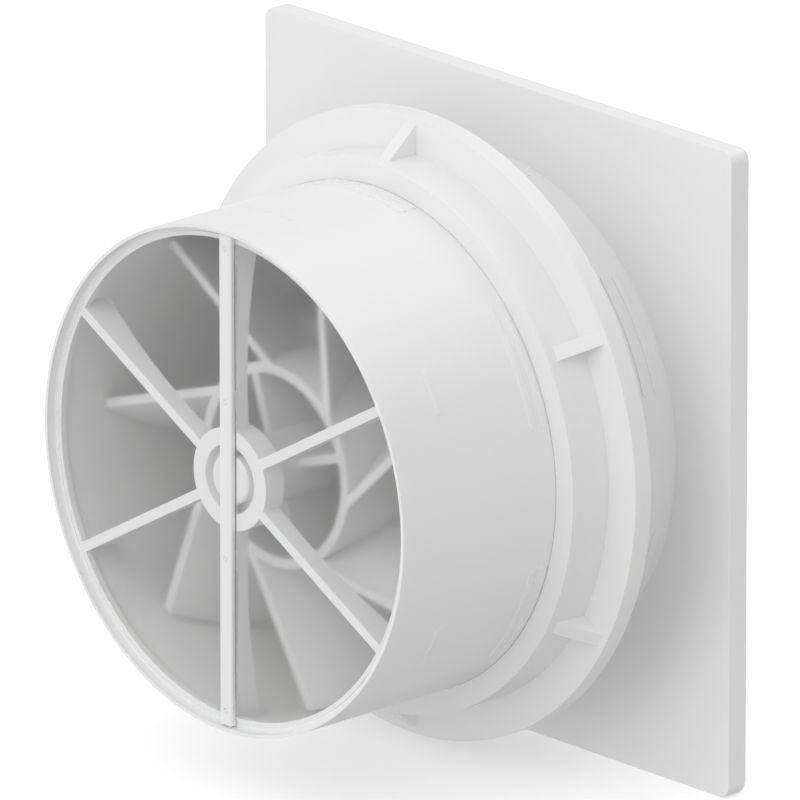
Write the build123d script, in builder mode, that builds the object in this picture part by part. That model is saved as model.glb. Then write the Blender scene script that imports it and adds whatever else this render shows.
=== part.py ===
from build123d import *
import math
import os

# Bathroom extractor fan with a square front panel, a round duct spigot and a
# butterfly back-draught damper.  Millimetres.  The fan axis is Y: the duct spigot
# points along +Y, the front panel faces the room along -Y, and +Z is up.  The origin
# is on the axis where the spigot meets the mounting ring's stop face.
# Depths along the axis are counted from the outlet end of the spigot.

os.makedirs("parts", exist_ok=True)

# ---------------------------------------------------------------- driving dimensions
tube_r = 62.0                # outside of the duct spigot
relief_r = 61.3              # groove under the mounting ring's shoulder, where the spigot's plain wall ends
relief_width = 1.6
tube_wall = 2.0
bore_r = tube_r - tube_wall
spigot_length = 49.0         # outlet end to the mounting ring's stop face
over = 1.0                   # how far a cutting or joining shape runs past the face it meets
tube_length = 88.2           # outlet end to the back of the front panel

recess_r = 61.1              # shallow recess in the outlet end that holds the damper
recess_depth = 2.4
ledge_r = 58.7               # opening inside the damper's seat
ledge_thickness = 1.6

arm_count = 6
arm_start = 30.0             # ribs, gussets and outlet arms share this 60 degree layout
arm_width = 2.5
arm_belly_r = 25.0           # radius at which an outlet arm is shallowest
arm_belly_depth = 7.0
arm_arch_r = 146.0           # radius of the arched inner edge of an outlet arm
hub_r = 12.5
hub_depth = 8.3
hub_socket_r = 8.4
hub_socket_depth = 5.2
hub_stem_r = 3.0
arm_root = 0.5               # arms run this far into the tube wall
arm_hub_overlap = 3.0        # and this far into the hub
lug_flat = 2.0
lug_screw_depth = 12.0

detent_height = 0.27         # low moulded ribs on the outside of the tube
detent_short_half = 4.9      # half angles, degrees
detent_long_half = 14.0
detent_short_depth = 16.4
detent_short_width = 1.8
detent_width = 2.2
detent_root = 0.5            # how far a rib is sunk into the tube wall
detent_round = 0.9
detent_flat = 0.8            # share of a long rib's width that stays level before it ramps down
detent_toe = 0.05
detent_depths = (43.0, 46.4, 79.4, 82.9)

collar_r = 67.7
flange_r = 76.8
flange_depth = 60.6
flange_thickness = 5.0
ring_wall = 2.0
ring_fit = 0.05
ring_bore_r = tube_r + ring_fit
gusset_thickness = 3.5
gusset_foot_depth = 51.8
gusset_r = 75.1
gusset_root = 0.5

panel_side = 160.0
panel_thickness = 6.8
panel_corner_r = 3.0
panel_opening_r = 50.0
grille_r = 60.0
grille_seat_depth = 3.0
panel_front = tube_length + panel_thickness
panel_edge_round = 2.0       # front edges of the panel
grille_ring_r = 49.6
grille_ring_wall = 1.6
grille_gap = 0.3             # round clearance of the grille in its seat
grille_bar = 1.8
grille_pocket_r = 3.4        # pockets that clear the panel screw heads
grille_pocket_depth = 1.9
slat_count = 9
slat_pitch = 10.4
slat_thickness = 1.8
slat_tilt = 28.0
slat_back_depth = 90.3

film = 0.3
film_r = 59.9
film_lift = 0.05             # the flaps stand just off their seat
bar_width = 4.2
bar_thickness = 1.3
bar_half_length = 60.7
bar_round = 0.7
pin_r = 0.6
pin_gap = 0.05
pin_depth = 2.0              # depth of the pin holes in the seat
pin_end_gap = 0.2
pin_places = (57.2, 19.4)
hinge_x = 2.25               # line of the damper's two living hinges
strip_inset = 0.1            # the clamped strip stands back from the bar's edges
slot_x = 2.65                # outer edge of the slots beside the bar
slot_gap = 0.05
slot_mid = 17.2              # middle slots reach this far above and below the axis
slot_out_low = 22.4
slot_out_high = 53.6
slot_corner = 0.5
plug_r = 6.2
plug_chamfer = 0.5
plug_gap = 0.1
plug_barb = 0.6              # the plug's snap end stands out this far
plug_barb_length = 1.5
plug_slit = 0.9

wheel_depth = 17.0           # rear edge of the fan wheel
wheel_length = 28.0
wheel_tip_r = 59.0
cup_r = 25.0
cup_wall = 2.5
cup_web = 2.5
boss_r = 8.3
blade_count = 7
blade_start = 135.6          # where a blade's rear edge leaves the cup, degrees
blade_sweep = -31.5          # from there to its tip, degrees
blade_thickness = 2.2
blade_lean_mid = 7.0         # how far a blade leans at half its length, and at its end
blade_lean_end = 12.4
blade_thinning = 0.7         # the blades thin towards the room
blade_overrun = 9.0          # each blade is drawn longer, then trimmed to the cup and the tip circle
cup_round = 1.5
boss_end_depth = 11.7        # the boss stands out behind the wheel, almost to the outlet hub
cup_rib_count = 4
cup_rib_start = 71.7
cup_rib_thickness = 2.2

clip_r = 4.6
clip_thickness = 0.8
clip_slot = 0.5
clip_slot_length = 1.7
clip_slot_count = 6

shaft_r = 2.0
shaft_fit = 0.05
shaft_end_depth = 10.3
shaft_front_depth = 85.4
end_chamfer = 0.3

stack_depth = 60.0           # rear face of the motor's steel laminations
stack_length = 13.0
stack_half_width = 25.0
stack_top = 20.0
stack_bottom = -38.0
stack_bore_r = 11.6
rotor_r = 11.3
rotor_ring = 2.0             # end rings of the rotor cage stand out this far
rotor_ring_r = 10.3
rotor_ring_wall = 3.0
pole_slot = 1.0              # slots that part the main poles from the shaded ones
pole_slot_length = 8.0
shade_slot = 1.8             # slots for the shading rings
shade_slot_place = (9.5, 13.5)
shade_tilt = -35
shade_place = (13.0, 15.4)
shade_size = (9.4, 6.6)
shade_bar = 1.5
shade_height = 1.15
shade_gap = 0.05
leg_width = 10.0
core_height = 10.0
window_top = -17.0
coil_half_width = 13.0
coil_y = 4.4                 # thickness of the winding on the rear and front of the core leg
coil_z = 3.6                 # and above and below it
coil_round = 3.0
bobbin_wall = 1.2
cheek_y = 5.4
cheek_z = 4.6
cheek_round = 2.0
core_gap = 0.2
shelf_y = 5.0                # shelf on the bobbin for the ends of the winding
shelf_size = (4.0, 9.0)
shelf_length = 6.0
bridge_depth = 7.0
bridge_bar = 3.0
bridge_height = 16.0
bridge_foot_x = 15.0         # the bridge's feet stand outside this radius
bearing_boss_r = 8.0
bearing_r = 5.0
bearing_length = 8.0
bearing_rear_depth = 48.0
bearing_front_depth = 76.0
end_play = 0.2
washer = 0.6
washer_r = 4.2
motor_places = [(20.0, 0), (-20.0, 0)]
motor_screw_r = 1.5
motor_screw_head = (2.8, 1.8)     # radius and height
nut_flat_r = 2.75
nut_height = 2.4
screw_end = 3.2              # the motor screws pass this far through the rear bridge
screw_gap = 0.2
press_gap = 0.02
isolator_r = 4.0

carrier_ring_depth = 81.0
carrier_ring_r = 59.6
carrier_ring_wall = 3.3
carrier_plate_depth = 85.0
carrier_plate = 2.5
carrier_plate_r = 27.0
carrier_arm_width = 6.0
carrier_rim = 1.8
carrier_gap = 17.0
boss_clearance = 1.2
carrier_screw_r = 54.5
lug_r = 4.4
lug_end_depth = 81.0
lug_start_depth = 62.0
panel_screw_r = 1.4
panel_screw_head = (2.7, 1.6)
panel_screw_bite = 9.0       # length of screw inside the boss
screw_dome = 0.45            # shares of a screw head's height and radius
screw_cross = 1.2
screw_cut_depth = 0.55
screw_cut = 0.6

tray_depth = 72.0
tray_plate = 2.5
tray_low_x = 31.5
tray_high_x = 52.0
tray_half_z = 13.0
tray_wall = 3.0
tray_wall_x = 54.0           # upright wall that ties the tray to the carrier's ring
tray_clamp_z = -26.0
clamp_z = -20.5
clamp_places = [(35.0, clamp_z), (46.5, clamp_z)]
clamp_screw_r = 1.0
clamp_screw_head = (2.0, 1.3)
clamp_height = 6.0
clamp_width = 5.4
clamp_margin = 2.5
clamp_round = 1.5
block_width = 13.0
block_length = 19.0
block_foot = 4.0
block_height = 5.0
block_post = 8.0
wire_lift = 4.4
wire_hole_r = 1.5
terminal_rows = (-3.5, 6.5)
terminal_x = 3.2
terminal_screw_r = 1.6
terminal_screw_length = 2.4
terminal_sunk = 1.6
terminal_slot = 0.5
terminal_slot_depth = 0.8
lead_r = 0.9
lead_bend = 1.8
lead_spread = 2.2
lead_turns = (26.0, 29.5)
lead_drift = 2.2
grommet_angle = -60.0        # the cable grommet closes a notch in the tube's room end
grommet_depth = 82.2
grommet_lip = 1.6
grommet_lip_width = 1.8
notch_depth = 76.6
notch_width = 12.0
cable_r = 3.6


def station(depth):
    """Plane across the axis at a depth from the outlet end, facing the room."""
    return Plane.XZ.offset(depth - spigot_length)


def height(depth):
    """Y of a depth from the outlet end."""
    return spigot_length - depth


def polar(radius, angle):
    """X and Z of a point at a radius and an angle about the fan axis."""
    return (radius * math.cos(math.radians(angle)), radius * math.sin(math.radians(angle)))


def rear_corners(builder):
    """Short upright edges at the two ends of a detent rib's steep rear face."""
    rear = builder.edges().group_by(Axis.Y)[-1]
    return rear.filter_by(lambda e: e.length < 2 * (detent_root + detent_height))


def finish(builder, name):
    builder.part.label = name
    export_step(builder.part, f"parts/{name}.step")


# ---------------------------------------------------------------- casing tube
with BuildPart() as outlet_arms:
    with BuildSketch(station(recess_depth)):
        with PolarLocations(0, arm_count, start_angle=arm_start):
            Rectangle(bore_r + arm_root, arm_width, align=(Align.MIN, Align.CENTER))
    extrude(amount=2 * hub_depth)
    with BuildSketch(Plane.XY):
        with BuildLine():
            belly_y = height(arm_belly_depth)
            near_r = hub_r - arm_hub_overlap
            far_r = bore_r + arm_root
            near = (near_r, belly_y - (arm_belly_r - near_r) ** 2 / (2 * arm_arch_r))
            far = (far_r, belly_y - (far_r - arm_belly_r) ** 2 / (2 * arm_arch_r))
            ThreePointArc(near, (arm_belly_r, belly_y), far)
            Polyline(far, (far[0], height(recess_depth)), (near[0], height(recess_depth)), near)
        make_face()
    revolve(axis=Axis.Y, mode=Mode.INTERSECT)

with BuildPart() as long_detent:
    with BuildSketch(Plane.XY):
        with BuildLine():
            Polyline(
                (tube_r - detent_root, 0),
                (tube_r + detent_height, 0),
                (tube_r + detent_height, -detent_width * detent_flat),
                (tube_r + detent_toe, -detent_width),
                (tube_r - detent_root, -detent_width),
                close=True,
            )
        make_face()
    revolve(axis=Axis.Y, revolution_arc=2 * detent_long_half)
    fillet(rear_corners(long_detent), detent_round)

with BuildPart() as short_detent:
    with BuildSketch(Plane.XY):
        with BuildLine():
            Polyline(
                (tube_r - detent_root, 0),
                (tube_r + detent_height, 0),
                (tube_r + detent_toe, -detent_short_width),
                (tube_r - detent_root, -detent_short_width),
                close=True,
            )
        make_face()
    revolve(axis=Axis.Y, revolution_arc=2 * detent_short_half)
    fillet(rear_corners(short_detent), detent_round)

with BuildPart() as housing_tube:
    with BuildSketch(Plane.XY):
        with BuildLine():
            Polyline(
                (tube_r, height(0)),
                (tube_r, 0),
                (relief_r, 0),
                (relief_r, -relief_width),
                (tube_r, -relief_width),
                (tube_r, height(tube_length)),
                (bore_r, height(tube_length)),
                (bore_r, height(recess_depth + ledge_thickness)),
                (ledge_r, height(recess_depth + ledge_thickness)),
                (ledge_r, height(recess_depth)),
                (recess_r, height(recess_depth)),
                (recess_r, height(0)),
                close=True,
            )
        make_face()
    revolve(axis=Axis.Y)
    add(outlet_arms.part)
    with BuildSketch(station(recess_depth)):
        Circle(hub_r)
    extrude(amount=hub_depth - recess_depth)
    with BuildSketch(station(recess_depth)):
        Circle(hub_socket_r)
    extrude(amount=hub_socket_depth - recess_depth, mode=Mode.SUBTRACT)
    with BuildSketch(station(recess_depth)):
        Circle(hub_stem_r)
    extrude(amount=hub_depth, mode=Mode.SUBTRACT)
    with BuildSketch(station(recess_depth)):
        for z in pin_places:
            with Locations((0, z), (0, -z)):
                Circle(pin_r)
    extrude(amount=pin_depth, mode=Mode.SUBTRACT)
    # low ribs that hold the mounting ring, in six groups round the tube
    for k in range(arm_count):
        middle = arm_start + 360 / arm_count * k
        shift = Pos(0, height(detent_short_depth), 0)
        add((shift * short_detent.part).rotate(Axis.Y, -middle - detent_short_half))
        for depth in detent_depths:
            shift = Pos(0, height(depth), 0)
            add((shift * long_detent.part).rotate(Axis.Y, -middle - detent_long_half))
    # four screw bosses inside the room end of the tube
    with BuildSketch(station(lug_start_depth)):
        with PolarLocations(carrier_screw_r, 4, start_angle=45):
            Circle(lug_r)
            Rectangle(
                bore_r + over - carrier_screw_r,
                2 * lug_r - lug_flat,
                align=(Align.MIN, Align.CENTER),
            )
    extrude(amount=lug_end_depth - lug_start_depth)
    with BuildSketch(station(lug_end_depth)):
        with PolarLocations(carrier_screw_r, 4, start_angle=45):
            Circle(panel_screw_r)
    extrude(amount=-lug_screw_depth, mode=Mode.SUBTRACT)
    # notch in the room end of the tube for the cable grommet
    with BuildSketch(station(notch_depth)):
        with Locations(polar(tube_r, grommet_angle)):
            Rectangle(4 * tube_wall, notch_width, rotation=grommet_angle)
    extrude(amount=tube_length - notch_depth, mode=Mode.SUBTRACT)
finish(housing_tube, "housing_tube")


# ---------------------------------------------------------------- mounting ring
with BuildPart() as mounting_ring:
    with BuildSketch(Plane.XY):
        with BuildLine():
            flange_front = height(flange_depth + flange_thickness)
            flange_plate = height(flange_depth + ring_wall)
            Polyline(
                (ring_bore_r, 0),
                (collar_r, 0),
                (collar_r, height(flange_depth)),
                (flange_r, height(flange_depth)),
                (flange_r, flange_front),
                (flange_r - ring_wall, flange_front),
                (flange_r - ring_wall, flange_plate),
                (collar_r - ring_wall, flange_plate),
                (collar_r - ring_wall, -ring_wall),
                (ring_bore_r, -ring_wall),
                close=True,
            )
        make_face()
    revolve(axis=Axis.Y)
    # six triangular gussets between the collar and the back of the flange
    for k in range(arm_count):
        with BuildSketch(Plane.XY.rotated((0, -arm_start - 360 / arm_count * k, 0))):
            with BuildLine():
                Polyline(
                    (collar_r - gusset_root, height(gusset_foot_depth) + gusset_root),
                    (collar_r, height(gusset_foot_depth)),
                    (gusset_r, height(flange_depth)),
                    (gusset_r, height(flange_depth) - gusset_root),
                    (collar_r - gusset_root, height(flange_depth) - gusset_root),
                    close=True,
                )
            make_face()
        extrude(amount=gusset_thickness / 2, both=True)
finish(mounting_ring, "mounting_ring")

# ---------------------------------------------------------------- front panel
with BuildPart() as front_panel:
    with BuildSketch(station(tube_length)):
        RectangleRounded(panel_side, panel_side, panel_corner_r)
    extrude(amount=panel_thickness)
    fillet(front_panel.faces().sort_by(Axis.Y)[0].edges(), panel_edge_round)
    with BuildSketch(station(tube_length)):
        Circle(panel_opening_r)
    extrude(amount=panel_thickness, mode=Mode.SUBTRACT)
    with BuildSketch(station(panel_front)):
        Circle(grille_r + grille_gap)
    extrude(amount=-grille_seat_depth, mode=Mode.SUBTRACT)
    with BuildSketch(station(tube_length)):
        with PolarLocations(carrier_screw_r, 4, start_angle=45):
            Circle(panel_screw_r + screw_gap)
    extrude(amount=panel_thickness, mode=Mode.SUBTRACT)
finish(front_panel, "front_panel")

# ---------------------------------------------------------------- intake grille
with BuildPart() as intake_grille:
    slat_run = panel_front - slat_back_depth
    slat_slope = math.tan(math.radians(slat_tilt))
    with BuildSketch(Plane.YZ):
        for i in range(slat_count):
            z = (i - (slat_count - 1) / 2) * slat_pitch
            with BuildLine():
                Polyline(
                    (height(panel_front + over), z - over * slat_slope),
                    (height(panel_front + over), z - over * slat_slope - slat_thickness),
                    (height(slat_back_depth - over), z + (slat_run + over) * slat_slope - slat_thickness),
                    (height(slat_back_depth - over), z + (slat_run + over) * slat_slope),
                    close=True,
                )
            make_face()
    extrude(amount=grille_ring_r, both=True)
    # two upright bars behind the slats
    with BuildSketch(station(slat_back_depth - over)):
        with GridLocations(2 * grille_ring_r / 3, 0, 2, 1):
            Rectangle(grille_bar, 2 * grille_ring_r)
    extrude(amount=slat_run + 2 * over)
    with BuildSketch(station(slat_back_depth)):
        Circle(grille_ring_r)
    extrude(amount=slat_run, mode=Mode.INTERSECT)
    with BuildSketch(Plane.XY):
        with BuildLine():
            Polyline(
                (grille_ring_r - grille_ring_wall, height(slat_back_depth)),
                (grille_ring_r, height(slat_back_depth)),
                (grille_ring_r, height(panel_front - grille_seat_depth)),
                (grille_r, height(panel_front - grille_seat_depth)),
                (grille_r, height(panel_front)),
                (grille_ring_r - grille_ring_wall, height(panel_front)),
                close=True,
            )
        make_face()
    revolve(axis=Axis.Y)
    # pockets that clear the panel screw heads
    with BuildSketch(station(panel_front - grille_seat_depth)):
        with PolarLocations(carrier_screw_r, 4, start_angle=45):
            Circle(grille_pocket_r)
    extrude(amount=grille_pocket_depth, mode=Mode.SUBTRACT)
finish(intake_grille, "intake_grille")

# ---------------------------------------------------------------- back-draught damper
film_back = recess_depth - film_lift - film     # outlet side of the film
bar_back = film_back - bar_thickness
hinge_y = height(film_back + film / 2)

with BuildPart() as damper_bar:
    with BuildSketch(station(bar_back)):
        Rectangle(bar_width, 2 * bar_half_length + 2 * over)
        Circle(bar_half_length, mode=Mode.INTERSECT)
    extrude(amount=bar_thickness)
    long_edges = damper_bar.faces().sort_by(Axis.Y)[-1].edges().filter_by(Axis.Z)
    fillet(long_edges, bar_round)
    with BuildSketch(station(bar_back)):
        for z in pin_places:
            with Locations((0, z), (0, -z)):
                Circle(pin_r + pin_gap)
    extrude(amount=bar_thickness, mode=Mode.SUBTRACT)
finish(damper_bar, "damper_bar")

with BuildPart() as damper_strip:
    with BuildSketch(station(film_back)):
        Rectangle(bar_width - 2 * strip_inset, 2 * film_r)
        Circle(film_r, mode=Mode.INTERSECT)
        for z in pin_places:
            with Locations((0, z), (0, -z)):
                Circle(pin_r + pin_gap, mode=Mode.SUBTRACT)
    extrude(amount=film)
finish(damper_strip, "damper_strip")

for side, name in ((1, "damper_flap_left"), (-1, "damper_flap_right")):
    with BuildPart() as damper_flap:
        with BuildSketch(station(film_back)) as half_disc:
            Circle(film_r)
            with Locations((-side * film_r, 0)):
                Rectangle(2 * film_r, 2 * film_r + 2 * over, mode=Mode.SUBTRACT)
            # strip under the bar, and the slots beside it that leave four hinge bridges
            inner = bar_width / 2 + slot_gap
            with Locations((side * inner / 2, 0)):
                Rectangle(inner, 2 * film_r + 2 * over, mode=Mode.SUBTRACT)
            slot_width = slot_x - inner + over
            slot_mid_x = side * (slot_x - slot_width / 2)
            slot_out_mid = (slot_out_low + slot_out_high) / 2
            with Locations((slot_mid_x, 0)):
                RectangleRounded(slot_width, 2 * slot_mid, slot_corner, mode=Mode.SUBTRACT)
            with Locations((slot_mid_x, slot_out_mid), (slot_mid_x, -slot_out_mid)):
                slot_out = slot_out_high - slot_out_low
                RectangleRounded(slot_width, slot_out, slot_corner, mode=Mode.SUBTRACT)
        extrude(amount=film)
    finish(damper_flap, name)

with BuildPart() as damper_pins:
    with BuildSketch(station(bar_back)):
        for z in pin_places:
            with Locations((0, z), (0, -z)):
                Circle(pin_r - pin_gap)
    extrude(amount=recess_depth - bar_back + pin_depth - pin_end_gap)
finish(damper_pins, "damper_pins")

with BuildPart() as hub_plug:
    with BuildSketch(station(recess_depth)):
        Circle(plug_r)
    extrude(amount=hub_socket_depth - recess_depth)
    chamfer(hub_plug.faces().sort_by(Axis.Y)[-1].edges(), plug_chamfer)
    with BuildSketch(station(hub_socket_depth)):
        Circle(hub_stem_r - plug_gap)
    extrude(amount=hub_depth - hub_socket_depth + plug_barb_length)
    # barbed end, split so that it can snap through the hub
    with BuildSketch(station(hub_depth + plug_gap)):
        Circle(hub_stem_r + plug_barb)
    extrude(amount=plug_barb_length - plug_gap, taper=12)
    with BuildSketch(station(hub_depth + plug_barb_length)):
        Rectangle(plug_slit, 4 * hub_stem_r)
    extrude(amount=-2 * plug_barb_length, mode=Mode.SUBTRACT)
finish(hub_plug, "hub_plug")

# ---------------------------------------------------------------- fan wheel
tip = polar(wheel_tip_r, blade_sweep)
span_angle = math.degrees(math.atan2(tip[1], tip[0] - cup_r))
span_length = math.hypot(tip[0] - cup_r, tip[1])

with BuildPart() as blade:
    span = Vector(math.cos(math.radians(span_angle)), 0, math.sin(math.radians(span_angle)))
    root = Vector(cup_r, height(wheel_depth), 0) - span * blade_overrun
    with BuildSketch(Plane(origin=root, x_dir=(0, -1, 0), z_dir=span)):
        half = blade_thickness / 2
        middle = wheel_length / 2
        thin = half * blade_thinning
        with BuildLine():
            ThreePointArc((0, half), (middle, blade_lean_mid + half), (wheel_length, blade_lean_end + thin))
            Line((wheel_length, blade_lean_end + thin), (wheel_length, blade_lean_end - thin))
            ThreePointArc((wheel_length, blade_lean_end - thin), (middle, blade_lean_mid - half), (0, -half))
            Line((0, -half), (0, half))
        make_face()
    extrude(amount=span_length + 2 * blade_overrun)
    with BuildSketch(station(wheel_depth)):
        Circle(wheel_tip_r)
        Circle(cup_r - cup_wall / 2, mode=Mode.SUBTRACT)
    extrude(amount=wheel_length, mode=Mode.INTERSECT)
    main_blade = blade.solids().sort_by(SortBy.VOLUME)[-1]

with BuildPart() as impeller:
    with BuildSketch(station(wheel_depth)):
        Circle(cup_r)
        Circle(cup_r - cup_wall, mode=Mode.SUBTRACT)
    extrude(amount=wheel_length)
    with BuildSketch(station(wheel_depth + wheel_length - cup_web)):
        Circle(cup_r - cup_wall / 2)
    extrude(amount=cup_web)
    fillet(impeller.faces().sort_by(Axis.Y)[0].outer_wire().edges(), cup_round)
    with BuildSketch(station(boss_end_depth)):
        Circle(boss_r)
    extrude(amount=wheel_depth + wheel_length - boss_end_depth)
    with BuildSketch(station(wheel_depth)):
        with PolarLocations(boss_r - arm_root, cup_rib_count, start_angle=cup_rib_start):
            Rectangle(
                cup_r - cup_wall - boss_r + 2 * arm_root,
                cup_rib_thickness,
                align=(Align.MIN, Align.CENTER),
            )
    extrude(amount=wheel_length - cup_web)
    for k in range(blade_count):
        add(main_blade.rotate(Axis.Y, -blade_start - 360 / blade_count * k))
    with BuildSketch(station(boss_end_depth)):
        Circle(shaft_r + shaft_fit)
    extrude(amount=wheel_depth + wheel_length - boss_end_depth, mode=Mode.SUBTRACT)
finish(impeller, "impeller")

with BuildPart() as shaft_clip:
    with BuildSketch(station(boss_end_depth - clip_thickness)):
        Circle(clip_r)
        Circle(shaft_r + shaft_fit, mode=Mode.SUBTRACT)
        with PolarLocations(shaft_r + clip_slot_length / 2, clip_slot_count):
            Rectangle(clip_slot_length, clip_slot, mode=Mode.SUBTRACT)
    extrude(amount=clip_thickness)
finish(shaft_clip, "shaft_clip")

with BuildPart() as motor_shaft:
    with BuildSketch(station(shaft_end_depth)):
        Circle(shaft_r)
    extrude(amount=shaft_front_depth - shaft_end_depth)
    chamfer(motor_shaft.edges().filter_by(GeomType.CIRCLE), end_chamfer)
finish(motor_shaft, "motor_shaft")

# ---------------------------------------------------------------- motor
stack_end = stack_depth + stack_length
rear_bar_depth = stack_depth - bridge_depth - bridge_bar
front_bar_depth = stack_end + bridge_depth

with BuildPart() as rotor_core:
    with BuildSketch(station(stack_depth - rotor_ring / 2)):
        Circle(rotor_r)
        Circle(shaft_r + shaft_fit, mode=Mode.SUBTRACT)
    extrude(amount=stack_length + rotor_ring)
    with BuildSketch(station(stack_depth - rotor_ring)):
        Circle(rotor_ring_r)
        Circle(rotor_ring_r - rotor_ring_wall, mode=Mode.SUBTRACT)
    extrude(amount=stack_length + 2 * rotor_ring)
finish(rotor_core, "rotor_core")

with BuildPart() as stator_stack:
    with BuildSketch(station(stack_depth)):
        with Locations((0, stack_bottom)):
            Rectangle(2 * stack_half_width, stack_top - stack_bottom, align=(Align.CENTER, Align.MIN))
        with Locations((0, stack_bottom + core_height)):
            Rectangle(
                2 * (stack_half_width - leg_width),
                window_top - stack_bottom - core_height,
                align=(Align.CENTER, Align.MIN),
                mode=Mode.SUBTRACT,
            )
        Circle(stack_bore_r, mode=Mode.SUBTRACT)
        with Locations(*motor_places):
            Circle(motor_screw_r + screw_gap, mode=Mode.SUBTRACT)
        with Locations((0, window_top), (0, stack_top)):
            Rectangle(pole_slot, pole_slot_length, mode=Mode.SUBTRACT)
        for sign in (1, -1):
            with Locations((sign * shade_slot_place[0], sign * shade_slot_place[1])):
                Rectangle(shade_slot, pole_slot_length, rotation=shade_tilt, mode=Mode.SUBTRACT)
    extrude(amount=stack_length)
finish(stator_stack, "stator_stack")

with BuildPart() as shading_rings:
    # two copper loops at each face of the stack, one round each shaded pole
    for depth in (stack_depth - shade_gap - shade_height, stack_end + shade_gap):
        for sign in (1, -1):
            with BuildSketch(station(depth)):
                with Locations((sign * shade_place[0], sign * shade_place[1])):
                    Rectangle(*shade_size, rotation=shade_tilt)
                    Rectangle(
                        shade_size[0] - 2 * shade_bar,
                        shade_size[1] - 2 * shade_bar,
                        rotation=shade_tilt,
                        mode=Mode.SUBTRACT,
                    )
            extrude(amount=shade_height)
finish(shading_rings, "shading_rings")

core_z = stack_bottom + core_height / 2
bobbin_half_z = core_height / 2 + bobbin_wall
bobbin_half_y = stack_length / 2 + bobbin_wall
stack_middle = stack_depth + stack_length / 2

with BuildPart() as coil_bobbin:
    # square tube round the core leg with an end cheek at each side
    with BuildSketch(Plane.YZ.offset(-coil_half_width)):
        with Locations((height(stack_middle), core_z)):
            Rectangle(2 * bobbin_half_y, 2 * bobbin_half_z)
            Rectangle(stack_length + core_gap, core_height + core_gap, mode=Mode.SUBTRACT)
    extrude(amount=2 * coil_half_width)
    for x in (-coil_half_width, coil_half_width - bobbin_wall):
        with BuildSketch(Plane.YZ.offset(x)):
            with Locations((height(stack_middle), core_z)):
                RectangleRounded(2 * (bobbin_half_y + cheek_y), 2 * (bobbin_half_z + cheek_z), cheek_round)
                Rectangle(stack_length + core_gap, core_height + core_gap, mode=Mode.SUBTRACT)
        extrude(amount=bobbin_wall)
    # shelf on the room side that holds the two lead terminals
    with BuildSketch(Plane.YZ.offset(coil_half_width - bobbin_wall)):
        with Locations((height(stack_middle + bobbin_half_y + shelf_y), core_z)):
            Rectangle(*shelf_size)
    extrude(amount=shelf_length)
finish(coil_bobbin, "coil_bobbin")

with BuildPart() as coil_winding:
    with BuildSketch(Plane.YZ.offset(-coil_half_width + bobbin_wall + core_gap / 2)):
        with Locations((height(stack_middle), core_z)):
            RectangleRounded(2 * (bobbin_half_y + coil_y), 2 * (bobbin_half_z + coil_z), coil_round)
            Rectangle(2 * bobbin_half_y + core_gap, 2 * bobbin_half_z + core_gap, mode=Mode.SUBTRACT)
    extrude(amount=2 * (coil_half_width - bobbin_wall) - core_gap)
finish(coil_winding, "coil_winding")

for name, bar_depth, leg_depth, boss_depth in (
    ("bearing_bridge_rear", rear_bar_depth, rear_bar_depth + bridge_bar, bearing_rear_depth),
    ("bearing_bridge_front", front_bar_depth, stack_end, bearing_front_depth),
):
    with BuildPart() as bearing_bridge:
        with BuildSketch(station(bar_depth)):
            SlotOverall(2 * stack_half_width, bridge_height)
        extrude(amount=bridge_bar)
        with BuildSketch(station(leg_depth)):
            SlotOverall(2 * stack_half_width, bridge_height)
            Circle(bridge_foot_x, mode=Mode.SUBTRACT)
        extrude(amount=bridge_depth)
        with BuildSketch(station(boss_depth)):
            Circle(bearing_boss_r)
        extrude(amount=bearing_length)
        with BuildSketch(station(boss_depth)):
            Circle(bearing_r)
        extrude(amount=bearing_length, mode=Mode.SUBTRACT)
        with BuildSketch(station(rear_bar_depth)):
            with Locations(*motor_places):
                Circle(motor_screw_r + screw_gap)
        extrude(amount=front_bar_depth + bridge_bar - rear_bar_depth, mode=Mode.SUBTRACT)
    finish(bearing_bridge, name)

for name, boss_depth in (
    ("bearing_rear", bearing_rear_depth),
    ("bearing_front", bearing_front_depth),
):
    with BuildPart() as bearing:
        with BuildSketch(station(boss_depth)):
            Circle(bearing_r - press_gap)
            Circle(shaft_r + shaft_fit, mode=Mode.SUBTRACT)
        extrude(amount=bearing_length)
        chamfer(bearing.edges().filter_by(GeomType.CIRCLE), end_chamfer)
    finish(bearing, name)

with BuildPart() as thrust_washers:
    for depth in (bearing_rear_depth + bearing_length + end_play, bearing_front_depth - end_play - washer):
        with BuildSketch(station(depth)):
            Circle(washer_r)
            Circle(shaft_r + shaft_fit, mode=Mode.SUBTRACT)
        extrude(amount=washer)
finish(thrust_washers, "thrust_washers")

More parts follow.
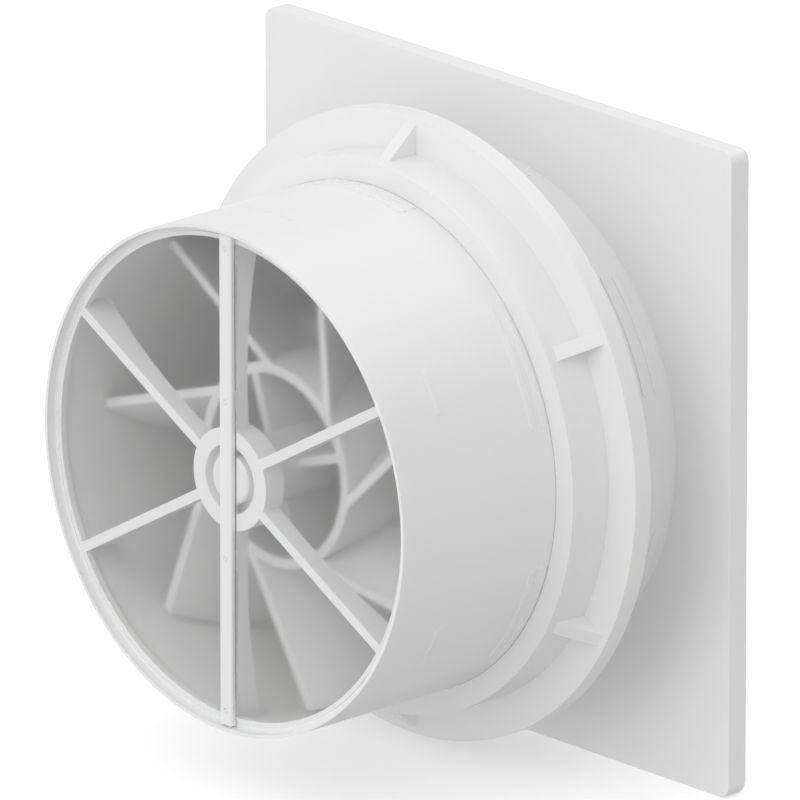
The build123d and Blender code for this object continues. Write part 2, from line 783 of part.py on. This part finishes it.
# ---------------------------------------------------------------- motor carrier
carrier_end = carrier_plate_depth + carrier_plate
with BuildPart() as motor_carrier:
    with BuildSketch(station(carrier_ring_depth)):
        Circle(carrier_ring_r)
        Circle(carrier_ring_r - carrier_ring_wall, mode=Mode.SUBTRACT)
        with PolarLocations(carrier_screw_r, 4, start_angle=45):
            Circle(lug_r)
    extrude(amount=tube_length - carrier_ring_depth)
    with BuildSketch(station(carrier_ring_depth)):
        with PolarLocations(carrier_plate_r - carrier_rim, 4, start_angle=45):
            Rectangle(
                carrier_screw_r - carrier_plate_r + carrier_rim,
                carrier_arm_width,
                align=(Align.MIN, Align.CENTER),
            )
    extrude(amount=carrier_end - carrier_ring_depth)
    with BuildSketch(station(carrier_plate_depth)):
        Circle(carrier_plate_r)
    extrude(amount=carrier_plate)
    # stiffening rim round the plate
    with BuildSketch(station(carrier_ring_depth)):
        Circle(carrier_plate_r)
        Circle(carrier_plate_r - carrier_rim, mode=Mode.SUBTRACT)
    extrude(amount=carrier_end - carrier_ring_depth)
    # terminal tray beside the motor, on a wall that drops from the ring
    with BuildSketch(station(tray_depth)):
        with BuildLine():
            Polyline(
                (tray_low_x, tray_half_z),
                (tray_wall_x + tray_wall / 2, tray_half_z),
                (tray_wall_x + tray_wall / 2, -tray_half_z),
                (tray_high_x - tray_wall, tray_clamp_z),
                (tray_low_x, tray_clamp_z),
                close=True,
            )
        make_face()
    extrude(amount=tray_plate)
    with BuildSketch(station(tray_depth)):
        with Locations((tray_wall_x, 0)):
            Rectangle(tray_wall, 2 * tray_half_z)
    extrude(amount=carrier_ring_depth + tray_wall - tray_depth)
    with BuildSketch(station(carrier_ring_depth)):
        Circle(bearing_boss_r + boss_clearance)
    extrude(amount=tube_length - carrier_ring_depth, mode=Mode.SUBTRACT)
    with BuildSketch(station(carrier_plate_depth)):
        with Locations(*motor_places):
            Circle(motor_screw_r + screw_gap)
    extrude(amount=carrier_plate, mode=Mode.SUBTRACT)
    with BuildSketch(station(carrier_ring_depth)):
        with PolarLocations(carrier_screw_r, 4, start_angle=45):
            Circle(panel_screw_r + screw_gap)
    extrude(amount=tube_length - carrier_ring_depth, mode=Mode.SUBTRACT)
    with BuildSketch(station(tray_depth)):
        with Locations(*clamp_places):
            Circle(clamp_screw_r)
    extrude(amount=tray_plate, mode=Mode.SUBTRACT)
    # gap in the ring for the cable grommet
    with BuildSketch(station(carrier_ring_depth)):
        with Locations(polar(carrier_ring_r, grommet_angle)):
            Rectangle(4 * carrier_ring_wall, carrier_gap, rotation=grommet_angle)
    extrude(amount=tube_length - carrier_ring_depth, mode=Mode.SUBTRACT)
finish(motor_carrier, "motor_carrier")

with BuildPart() as isolators:
    with BuildSketch(station(front_bar_depth + bridge_bar)):
        with Locations(*motor_places):
            Circle(isolator_r)
            Circle(motor_screw_r + screw_gap, mode=Mode.SUBTRACT)
    extrude(amount=carrier_plate_depth - front_bar_depth - bridge_bar)
finish(isolators, "isolators")


def screws(places, head_depth, head, shank_r, shank_length):
    """Round-headed cross-recess screws driven from the room side, heads towards the room."""
    head_r, head_height = head
    with BuildPart() as group:
        with BuildSketch(station(head_depth)):
            with Locations(*places):
                Circle(head_r)
        extrude(amount=head_height)
        fillet(group.faces().sort_by(Axis.Y).group_by(Axis.Y)[0].edges(), head_height * screw_dome)
        with BuildSketch(station(head_depth)):
            with Locations(*places):
                Circle(shank_r)
        extrude(amount=-shank_length)
        with BuildSketch(station(head_depth + head_height)):
            with Locations(*places):
                Rectangle(head_r * screw_cross, screw_cut)
                Rectangle(screw_cut, head_r * screw_cross)
        extrude(amount=-head_height * screw_cut_depth, mode=Mode.SUBTRACT)
    return group


motor_shank = carrier_end - rear_bar_depth + screw_end
motor_screws = screws(motor_places, carrier_end, motor_screw_head, motor_screw_r, motor_shank)
finish(motor_screws, "motor_screws")

with BuildPart() as motor_nuts:
    with BuildSketch(station(rear_bar_depth)):
        with Locations(*motor_places):
            RegularPolygon(nut_flat_r, 6, major_radius=False)
            Circle(motor_screw_r + press_gap, mode=Mode.SUBTRACT)
    extrude(amount=-nut_height)
finish(motor_nuts, "motor_nuts")

panel_places = [polar(carrier_screw_r, 45 + 90 * k) for k in range(4)]
panel_seat = panel_front - grille_seat_depth
panel_shank = panel_seat - lug_end_depth + panel_screw_bite
panel_shank_r = panel_screw_r - press_gap
panel_screws = screws(panel_places, panel_seat, panel_screw_head, panel_shank_r, panel_shank)
finish(panel_screws, "panel_screws")

# ---------------------------------------------------------------- wiring
block_x = (tray_low_x + tray_high_x) / 2
block_base = tray_depth + tray_plate
block_top = block_base + block_foot + block_height
wire_depth = block_base + wire_lift
terminal_places = [(block_x + sx * terminal_x, z) for sx in (1, -1) for z in terminal_rows]

with BuildPart() as terminal_block:
    with BuildSketch(station(block_base)):
        with Locations((block_x, sum(terminal_rows) / 2)):
            Rectangle(block_width, block_length)
    extrude(amount=block_foot)
    with BuildSketch(station(block_base + block_foot)):
        for z in terminal_rows:
            with Locations((block_x, z)):
                Rectangle(block_width, block_post)
    extrude(amount=block_height)
    # wire holes right through, and the screw holes above them
    with BuildSketch(Plane.YZ.offset(block_x - block_width / 2)):
        for z in terminal_rows:
            with Locations((height(wire_depth), z)):
                Circle(wire_hole_r)
    extrude(amount=block_width, mode=Mode.SUBTRACT)
    with BuildSketch(station(block_top)):
        with Locations(*terminal_places):
            Circle(terminal_screw_r + screw_gap / 2)
    extrude(amount=wire_depth - block_top, mode=Mode.SUBTRACT)
finish(terminal_block, "terminal_block")

with BuildPart() as terminal_screws:
    with BuildSketch(station(block_top - terminal_sunk - terminal_screw_length)):
        with Locations(*terminal_places):
            Circle(terminal_screw_r)
    extrude(amount=terminal_screw_length)
    with BuildSketch(station(block_top - terminal_sunk)):
        with Locations(*terminal_places):
            Rectangle(terminal_screw_r * 1.6, terminal_slot)
    extrude(amount=-terminal_slot_depth, mode=Mode.SUBTRACT)
finish(terminal_screws, "terminal_screws")

clamp_mid_x = (clamp_places[0][0] + clamp_places[1][0]) / 2
clamp_length = clamp_places[1][0] - clamp_places[0][0] + 2 * clamp_margin
with BuildPart() as cable_clamp:
    with BuildSketch(station(block_base)):
        with Locations((clamp_mid_x, clamp_z)):
            RectangleRounded(clamp_length, clamp_width, clamp_round)
    extrude(amount=clamp_height)
    # half-round saddle for the cable
    with BuildSketch(Plane.XY.offset(clamp_z - clamp_width)):
        with Locations((clamp_mid_x, height(block_base))):
            Circle(cable_r - screw_gap)
    extrude(amount=2 * clamp_width, mode=Mode.SUBTRACT)
    with BuildSketch(station(block_base)):
        with Locations(*clamp_places):
            Circle(clamp_screw_r)
    extrude(amount=clamp_height, mode=Mode.SUBTRACT)
finish(cable_clamp, "cable_clamp")

clamp_shank_r = clamp_screw_r - press_gap
clamp_shank = clamp_height + tray_plate
clamp_screws = screws(clamp_places, block_base + clamp_height, clamp_screw_head, clamp_shank_r, clamp_shank)
finish(clamp_screws, "clamp_screws")

grommet_in_r = bore_r - grommet_lip
grommet_out_r = tube_r + grommet_lip
grommet_x, grommet_z = polar(grommet_in_r - over, grommet_angle)
outward = (math.cos(math.radians(grommet_angle)), 0, math.sin(math.radians(grommet_angle)))
with BuildPart() as cable_grommet:
    # inner lip, neck in the tube's notch, and outer lip, each curved like the tube wall
    for inner_r, outer_r, edge in (
        (grommet_in_r, bore_r, grommet_lip_width),
        (bore_r, tube_r, 0),
        (tube_r, grommet_out_r, grommet_lip_width),
    ):
        with BuildSketch(station(notch_depth - edge)):
            Circle(outer_r)
            Circle(inner_r, mode=Mode.SUBTRACT)
            with Locations(polar(tube_r, grommet_angle)):
                Rectangle(tube_r, notch_width + 2 * edge, rotation=grommet_angle, mode=Mode.INTERSECT)
        extrude(amount=tube_length - notch_depth + edge)
    with BuildSketch(Plane(origin=(grommet_x, height(grommet_depth), grommet_z), z_dir=outward)):
        Circle(cable_r)
    extrude(amount=grommet_out_r - grommet_in_r + 2 * over, mode=Mode.SUBTRACT)
finish(cable_grommet, "cable_grommet")

lead_x = coil_half_width - bobbin_wall + shelf_length
lead_y = height(stack_middle + bobbin_half_y + shelf_y)
for name, from_z, to_z, turn_x in (
    ("lead_live", core_z + lead_spread, terminal_rows[1], lead_turns[0]),
    ("lead_neutral", core_z - lead_spread, terminal_rows[0], lead_turns[1]),
):
    with BuildPart() as lead:
        with BuildLine():
            FilletPolyline(
                (lead_x, lead_y, from_z),
                (turn_x, lead_y, from_z),
                (turn_x + lead_drift, height(wire_depth), to_z),
                (block_x - block_width / 2, height(wire_depth), to_z),
                radius=lead_bend,
            )
        with BuildSketch(Plane.YZ.offset(lead_x)):
            with Locations((lead_y, from_z)):
                Circle(lead_r)
        sweep()
    finish(lead, name)
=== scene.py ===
import math

import bpy
from mathutils import Matrix, Vector


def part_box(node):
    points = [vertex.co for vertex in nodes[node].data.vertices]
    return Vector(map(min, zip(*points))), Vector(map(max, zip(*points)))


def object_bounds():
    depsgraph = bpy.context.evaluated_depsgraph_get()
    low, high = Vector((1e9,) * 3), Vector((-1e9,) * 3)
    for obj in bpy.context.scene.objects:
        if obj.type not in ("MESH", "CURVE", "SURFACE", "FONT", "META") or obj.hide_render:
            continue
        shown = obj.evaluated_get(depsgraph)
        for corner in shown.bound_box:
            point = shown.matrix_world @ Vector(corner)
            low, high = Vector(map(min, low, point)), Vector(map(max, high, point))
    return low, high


# Bathroom extractor fan seen from its duct side.  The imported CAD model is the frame; this script
# gives its pieces their finish, sets the light, and looks at it obliquely from the duct end.

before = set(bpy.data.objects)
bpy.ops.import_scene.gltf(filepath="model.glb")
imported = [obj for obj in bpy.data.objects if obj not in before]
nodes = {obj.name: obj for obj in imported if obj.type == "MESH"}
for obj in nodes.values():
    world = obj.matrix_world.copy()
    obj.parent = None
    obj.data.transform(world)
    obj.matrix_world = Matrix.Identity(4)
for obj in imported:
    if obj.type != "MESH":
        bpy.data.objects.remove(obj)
cad_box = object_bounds()
scene = bpy.context.scene

MM = 0.001
WELD_REACH = 0.002 * MM
EDGE_DEFAULT = 0.08          # round of an edge that edge_round does not list, in millimetres
SHARP_ANGLE = math.radians(28.0)
FLOOR_REACH = 8.0
CAMERA_AZIMUTH = math.radians(226.76)
CAMERA_ELEVATION = math.radians(18.43)
CAMERA_DISTANCE = 4.901
CAMERA_SHIFT = (0.04164, 0.01913)     # to the right and up, across the line of sight
CAMERA_LENS = 940.1
SKY_LEVEL = 0.66
SKY_SLOPE = (0.0, 0.20, 0.18)         # the studio is a little brighter behind the duct end and above


# ------------------------------------------------------------------ material helpers
class Shader:
    """One material's node tree, with short calls for the nodes this scene uses."""

    def __init__(self, name):
        self.material = bpy.data.materials.new(name)
        self.material.use_nodes = True
        self.tree = self.material.node_tree
        self.tree.nodes.clear()
        self.output = self.add("ShaderNodeOutputMaterial")
        self.coords = self.add("ShaderNodeTexCoord").outputs["Object"]

    def add(self, kind, **values):
        node = self.tree.nodes.new(kind)
        for key, value in values.items():
            setattr(node, key, value)
        return node

    def link(self, source, target):
        self.tree.links.new(source, target)

    def stretched(self, scale):
        """Object coordinates multiplied by a scale on each axis."""
        mapping = self.add("ShaderNodeMapping")
        mapping.inputs["Scale"].default_value = scale
        self.link(self.coords, mapping.inputs["Vector"])
        return mapping.outputs["Vector"]

    def noise(self, scale, detail=3.0, rough=0.5, vector=None, distortion=0.0):
        node = self.add("ShaderNodeTexNoise")
        node.inputs["Scale"].default_value = scale
        node.inputs["Detail"].default_value = detail
        node.inputs["Roughness"].default_value = rough
        node.inputs["Distortion"].default_value = distortion
        self.link(vector if vector is not None else self.coords, node.inputs["Vector"])
        return node.outputs["Fac"]

    def wave(self, scale, direction, distortion=0.0, detail_scale=1.0):
        node = self.add("ShaderNodeTexWave", bands_direction=direction)
        node.inputs["Scale"].default_value = scale
        node.inputs["Distortion"].default_value = distortion
        node.inputs["Detail Scale"].default_value = detail_scale
        self.link(self.coords, node.inputs["Vector"])
        return node.outputs["Fac"]

    def math(self, operation, a, b):
        node = self.add("ShaderNodeMath", operation=operation)
        for socket, value in zip(node.inputs, (a, b)):
            if isinstance(value, (int, float)):
                socket.default_value = value
            else:
                self.link(value, socket)
        return node.outputs[0]

    def remap(self, value, low, high, out_low, out_high):
        node = self.add("ShaderNodeMapRange")
        self.link(value, node.inputs["Value"])
        for key, number in (("From Min", low), ("From Max", high), ("To Min", out_low), ("To Max", out_high)):
            node.inputs[key].default_value = number
        return node.outputs["Result"]

    def ramp(self, value, stops):
        node = self.add("ShaderNodeValToRGB")
        ramp = node.color_ramp
        while len(ramp.elements) < len(stops):
            ramp.elements.new(0.5)
        for element, (place, color) in zip(ramp.elements, stops):
            element.position = place
            element.color = (*color, 1.0)
        self.link(value, node.inputs["Fac"])
        return node.outputs["Color"]

    def mix(self, factor, a, b):
        node = self.add("ShaderNodeMix", data_type="RGBA")
        for socket, value in zip((node.inputs[0], node.inputs[6], node.inputs[7]), (factor, a, b)):
            if isinstance(value, (int, float)):
                socket.default_value = value
            elif isinstance(value, tuple):
                socket.default_value = (*value, 1.0)
            else:
                self.link(value, socket)
        return node.outputs[2]

    def bump(self, height, strength, distance, under=None):
        node = self.add("ShaderNodeBump")
        node.inputs["Strength"].default_value = strength
        node.inputs["Distance"].default_value = distance
        self.link(height, node.inputs["Height"])
        if under is not None:
            self.link(under, node.inputs["Normal"])
        return node.outputs["Normal"]

    def surface(self, color, rough, normal, **constants):
        """Principled surface; the constants go straight onto its own sockets."""
        node = self.add("ShaderNodeBsdfPrincipled")
        self.link(color, node.inputs["Base Color"])
        self.link(rough, node.inputs["Roughness"])
        self.link(normal, node.inputs["Normal"])
        for key, value in constants.items():
            node.inputs[key.replace("_", " ")].default_value = value
        self.link(node.outputs["BSDF"], self.output.inputs["Surface"])
        return self.material


def shade(color, amount):
    return tuple(min(1.0, c * amount) for c in color)


def moulded(name, color, rough=0.40, cloud=0.012, scatter=0.15):
    """Satin moulded plastic: cloudy colour, a fine spark-eroded grain, faint flow marks and dust."""
    s = Shader(name)
    large = s.noise(26.0, 2.0)
    flow = s.noise(1.0, 3.0, 0.55, s.stretched((60.0, 14.0, 60.0)), 0.6)
    speck = s.noise(2600.0, 2.0, 0.6)
    tone = s.math("ADD", s.math("MULTIPLY", large, 0.6), s.math("MULTIPLY", flow, 0.4))
    dull = shade(color, 1.0 - cloud)
    bright = shade(color, 1.0 + cloud * 0.5)
    base = s.ramp(tone, ((0.3, dull), (0.5, color), (0.7, bright)))
    dust = s.remap(speck, 0.4, 0.65, 0.0, 0.03)
    base = s.mix(dust, base, shade(color, 0.85))
    gloss = s.remap(s.math("ADD", flow, speck), 0.7, 1.3, rough - 0.05, rough + 0.05)
    grainy = s.bump(s.noise(1500.0, 4.0, 0.65), 0.5, 0.000012)
    waves = s.bump(s.noise(60.0, 1.5), 0.04, 0.0006, grainy)
    return s.surface(
        base,
        gloss,
        waves,
        Subsurface_Weight=scatter,
        Subsurface_Radius=(1.0, 0.95, 0.9),
        Subsurface_Scale=0.0012,
    )


def frosted_film(name, color):
    """Thin frosted film: clear, with a soft haze and slow ripples."""
    s = Shader(name)
    slow = s.noise(34.0, 2.0)
    fine = s.noise(210.0, 2.0)
    base = s.ramp(slow, ((0.3, shade(color, 0.99)), (0.7, color)))
    gloss = s.remap(fine, 0.3, 0.7, 0.14, 0.17)
    normal = s.bump(slow, 0.03, 0.0008)
    return s.surface(base, gloss, normal, Transmission_Weight=0.98, IOR=1.25)


def steel(name, color, rough=0.3, direction=(1.0, 1.0, 1.0), streak=0.05, coat=0.0):
    """Bare or plated metal with fine tool marks along one direction and dull patches."""
    s = Shader(name)
    lines = s.noise(900.0, 2.0, 0.6, s.stretched(direction))
    patch = s.noise(180.0, 3.0, 0.6)
    base = s.ramp(patch, ((0.3, shade(color, 0.88)), (0.6, color), (0.8, shade(color, 1.06))))
    wear = s.math("ADD", lines, s.math("MULTIPLY", patch, 0.5))
    gloss = s.remap(wear, 0.5, 1.0, rough - 0.08, rough + 0.12)
    normal = s.bump(lines, streak * 4, 0.00003)
    return s.surface(base, gloss, normal, Metallic=1.0, Coat_Weight=coat)


def laminated(name, color):
    """Stamped sheets stacked along the fan axis: a dark line between each pair of sheets."""
    s = Shader(name)
    sheets = s.wave(160.0, "Y", 0.0)
    rust = s.noise(240.0, 4.0, 0.7)
    line = s.remap(sheets, 0.0, 0.25, 0.0, 1.0)
    base = s.mix(line, shade(color, 0.35), color)
    base = s.mix(s.remap(rust, 0.55, 0.75, 0.0, 0.5), base, (0.20, 0.13, 0.09))
    gloss = s.remap(rust, 0.3, 0.7, 0.35, 0.6)
    normal = s.bump(line, 0.5, 0.0001)
    return s.surface(base, gloss, normal, Metallic=0.9)


def wound(name, color):
    """Enamelled wire laid in close turns round the core, with painted shade in the creases between turns."""
    s = Shader(name)
    turns = s.wave(520.0, "X", 1.4, detail_scale=30.0)
    age = s.noise(120.0, 3.0)
    # painted shade: the troughs of the turn pattern darken the wire colour to about a third, as shade in the
    # creases between turns
    base = s.mix(s.remap(turns, 0.0, 0.5, 0.0, 1.0), shade(color, 0.35), color)
    base = s.mix(s.remap(age, 0.4, 0.7, 0.0, 0.35), base, shade(color, 1.3))
    gloss = s.remap(age, 0.3, 0.7, 0.22, 0.38)
    normal = s.bump(turns, 0.9, 0.00025)
    return s.surface(base, gloss, normal, Metallic=0.75, Coat_Weight=0.5, Coat_Roughness=0.15)


def soft_rubber(name, color):
    s = Shader(name)
    bloom = s.noise(150.0, 4.0, 0.6)
    fine = s.noise(2200.0, 3.0, 0.7)
    base = s.ramp(bloom, ((0.35, color), (0.7, shade(color, 1.25))))
    gloss = s.remap(bloom, 0.3, 0.7, 0.62, 0.8)
    return s.surface(base, gloss, s.bump(fine, 0.25, 0.00005))


def wire_skin(name, color):
    s = Shader(name)
    rub = s.noise(260.0, 3.0, 0.6)
    base = s.ramp(rub, ((0.35, shade(color, 0.9)), (0.65, color), (0.8, shade(color, 1.2))))
    gloss = s.remap(rub, 0.3, 0.7, 0.28, 0.45)
    return s.surface(base, gloss, s.bump(s.noise(1200.0, 2.0), 0.12, 0.00004))


# ------------------------------------------------------------------ finishes of the CAD nodes
white = (0.885, 0.887, 0.885)
casing = moulded("casing plastic", white)
ring = moulded("ring plastic", shade(white, 0.99), rough=0.42)
panel = moulded("panel plastic", shade(white, 1.01), rough=0.38)
grille = moulded("grille plastic", white)
carrier = moulded("carrier plastic", shade(white, 0.96), rough=0.46)
wheel = moulded("wheel plastic", shade(white, 0.93), rough=0.44)
small_white = moulded("trim plastic", shade(white, 0.99), rough=0.36)
film = frosted_film("damper film", (0.965, 0.966, 0.965))
nylon = moulded("black nylon", (0.035, 0.035, 0.038), rough=0.5, scatter=0.0, cloud=0.15)
grey_block = moulded("terminal plastic", (0.48, 0.49, 0.50), rough=0.42, scatter=0.04)
finishes = {
    "housing_tube": casing,
    "mounting_ring": ring,
    "front_panel": panel,
    "intake_grille": grille,
    "damper_bar": small_white,
    "damper_strip": film,
    "damper_flap_left": film,
    "damper_flap_right": film,
    "damper_pins": small_white,
    "hub_plug": small_white,
    "impeller": wheel,
    "shaft_clip": steel("spring steel", (0.52, 0.53, 0.55), 0.3),
    "motor_shaft": steel("ground shaft", (0.62, 0.63, 0.65), 0.2, (1.0, 8.0, 1.0)),
    "rotor_core": steel("cast cage", (0.52, 0.52, 0.53), 0.42, (1.0, 5.0, 1.0), 0.1),
    "stator_stack": laminated("lamination steel", (0.34, 0.345, 0.36)),
    "shading_rings": steel("bare copper", (0.78, 0.42, 0.28), 0.28),
    "coil_bobbin": nylon,
    "coil_winding": wound("enamelled wire", (0.55, 0.22, 0.09)),
    "bearing_bridge_rear": steel("die-cast zinc", (0.55, 0.555, 0.56), 0.45, (1.0, 1.0, 1.0), 0.12),
    "bearing_rear": steel("sintered bronze", (0.52, 0.38, 0.22), 0.45, (1.0, 1.0, 1.0), 0.15),
    "thrust_washers": nylon,
    "motor_carrier": carrier,
    "isolators": soft_rubber("isolator rubber", (0.09, 0.09, 0.095)),
    "motor_screws": steel("zinc plate", (0.66, 0.67, 0.66), 0.25, (1.0, 1.0, 1.0), 0.05, 0.2),
    "terminal_block": grey_block,
    "terminal_screws": steel("brass screws", (0.70, 0.53, 0.27), 0.28),
    "cable_clamp": small_white,
    "cable_grommet": soft_rubber("grommet rubber", (0.20, 0.205, 0.21)),
    "lead_live": wire_skin("brown insulation", (0.16, 0.07, 0.035)),
    "lead_neutral": wire_skin("blue insulation", (0.035, 0.11, 0.36)),
}
same_finish = {
    "bearing_bridge_front": "bearing_bridge_rear",
    "bearing_front": "bearing_rear",
    "motor_nuts": "motor_screws",
    "panel_screws": "motor_screws",
    "clamp_screws": "motor_screws",
}
finishes.update({name: finishes[other] for name, other in same_finish.items()})

# Moulded edges are never knife sharp: each CAD solid gets a hair-fine round with true shading.
edge_round = {
    "mounting_ring": 0.30,
    "front_panel": 0.35,
    "intake_grille": 0.25,
    "damper_bar": 0.15,
    "hub_plug": 0.15,
    "impeller": 0.25,
    "motor_carrier": 0.25,
    "terminal_block": 0.25,
    "cable_clamp": 0.25,
}
for name, node in nodes.items():
    node.data.materials.clear()
    node.data.materials.append(finishes[name])
    for face in node.data.polygons:
        face.use_smooth = finishes[name] is not film
    if finishes[name] is film:
        # the film is thin and clear, so it is left out of the light's way to the wheel behind it
        node.visible_shadow = False
        node.visible_diffuse = False
        continue
    if name == "housing_tube":
        # its thin ribs and pin holes are finer than a round could be
        continue
    weld = node.modifiers.new("weld", "WELD")
    weld.merge_threshold = WELD_REACH
    bevel = node.modifiers.new("edges", "BEVEL")
    bevel.width = edge_round.get(name, EDGE_DEFAULT) * MM
    bevel.segments = 2
    bevel.limit_method = "ANGLE"
    bevel.angle_limit = SHARP_ANGLE
    bevel.use_clamp_overlap = True
    shading = node.modifiers.new("shading", "WEIGHTED_NORMAL")
    shading.weight = 80

# ------------------------------------------------------------------ floor and studio light
low = cad_box[0]
floor_mesh = bpy.data.meshes.new("floor")
floor_mesh.from_pydata(
    [(x * FLOOR_REACH, y * FLOOR_REACH, low.z) for x, y in ((-1, -1), (1, -1), (1, 1), (-1, 1))],
    [],
    [(0, 1, 2, 3)],
)
floor = bpy.data.objects.new("floor", floor_mesh)
scene.collection.objects.link(floor)
ground = Shader("pale floor")
fleck = ground.noise(35.0, 3.0)
floor_mesh.materials.append(
    ground.surface(
        ground.ramp(fleck, ((0.3, (0.93, 0.93, 0.93)), (0.7, (0.95, 0.95, 0.95)))),
        ground.remap(fleck, 0.3, 0.7, 0.8, 0.9),
        ground.bump(fleck, 0.02, 0.001),
        Emission_Color=(1.0, 1.0, 1.0, 1.0),
        Emission_Strength=0.30,
    )
)
floor.visible_diffuse = False

world = bpy.data.worlds.new("studio")
scene.world = world
world.use_nodes = True
sky = world.node_tree
aim = sky.nodes.new("ShaderNodeVectorMath")
aim.operation = "DOT_PRODUCT"
aim.inputs[1].default_value = SKY_SLOPE
level = sky.nodes.new("ShaderNodeMath")
level.inputs[1].default_value = SKY_LEVEL
sky.links.new(sky.nodes.new("ShaderNodeTexCoord").outputs["Generated"], aim.inputs[0])
sky.links.new(aim.outputs["Value"], level.inputs[0])
sky.links.new(level.outputs[0], sky.nodes["Background"].inputs["Strength"])
sky.nodes["Background"].inputs["Color"].default_value = (1.0, 1.0, 1.0, 1.0)


def soft_light(name, direction, strength, angle):
    """A wide soft light that shines from a direction given in the row frame."""
    data = bpy.data.lights.new(name, "SUN")
    data.energy = strength
    data.angle = math.radians(angle)
    light = bpy.data.objects.new(name, data)
    light.rotation_mode = "QUATERNION"
    light.rotation_quaternion = Vector(direction).to_track_quat("Z", "Y")
    scene.collection.objects.link(light)


# ------------------------------------------------------------------ camera
azimuth, elevation = CAMERA_AZIMUTH, CAMERA_ELEVATION
right = Vector((math.cos(azimuth), math.sin(azimuth), 0.0))
back = Vector(
    (math.cos(elevation) * math.sin(azimuth), -math.cos(elevation) * math.cos(azimuth), math.sin(elevation))
)
up = back.cross(right)
outlet_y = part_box("housing_tube")[1].y
camera_data = bpy.data.cameras.new("camera")
camera_data.sensor_width = 36.0
camera_data.lens = CAMERA_LENS
camera_data.clip_start = 0.1
camera_data.clip_end = 40.0
camera = bpy.data.objects.new("camera", camera_data)
scene.collection.objects.link(camera)
place = Vector((0.0, outlet_y, 0.0)) + back * CAMERA_DISTANCE + right * CAMERA_SHIFT[0] + up * CAMERA_SHIFT[1]
camera.matrix_world = Matrix.Translation(place) @ Matrix((right, up, back)).transposed().to_4x4()
scene.camera = camera

soft_light("key", right * -0.6 + back * 0.7 + Vector((0, 0, 0.5)), 0.45, 50.0)
soft_light("overhead", Vector((0.0, -0.65, 0.76)), 0.45, 55.0)

scene.view_settings.view_transform = "Standard"
scene.view_settings.look = "None"
scene.cycles.max_bounces = 16
scene.cycles.transmission_bounces = 10
scene.cycles.transparent_max_bounces = 10
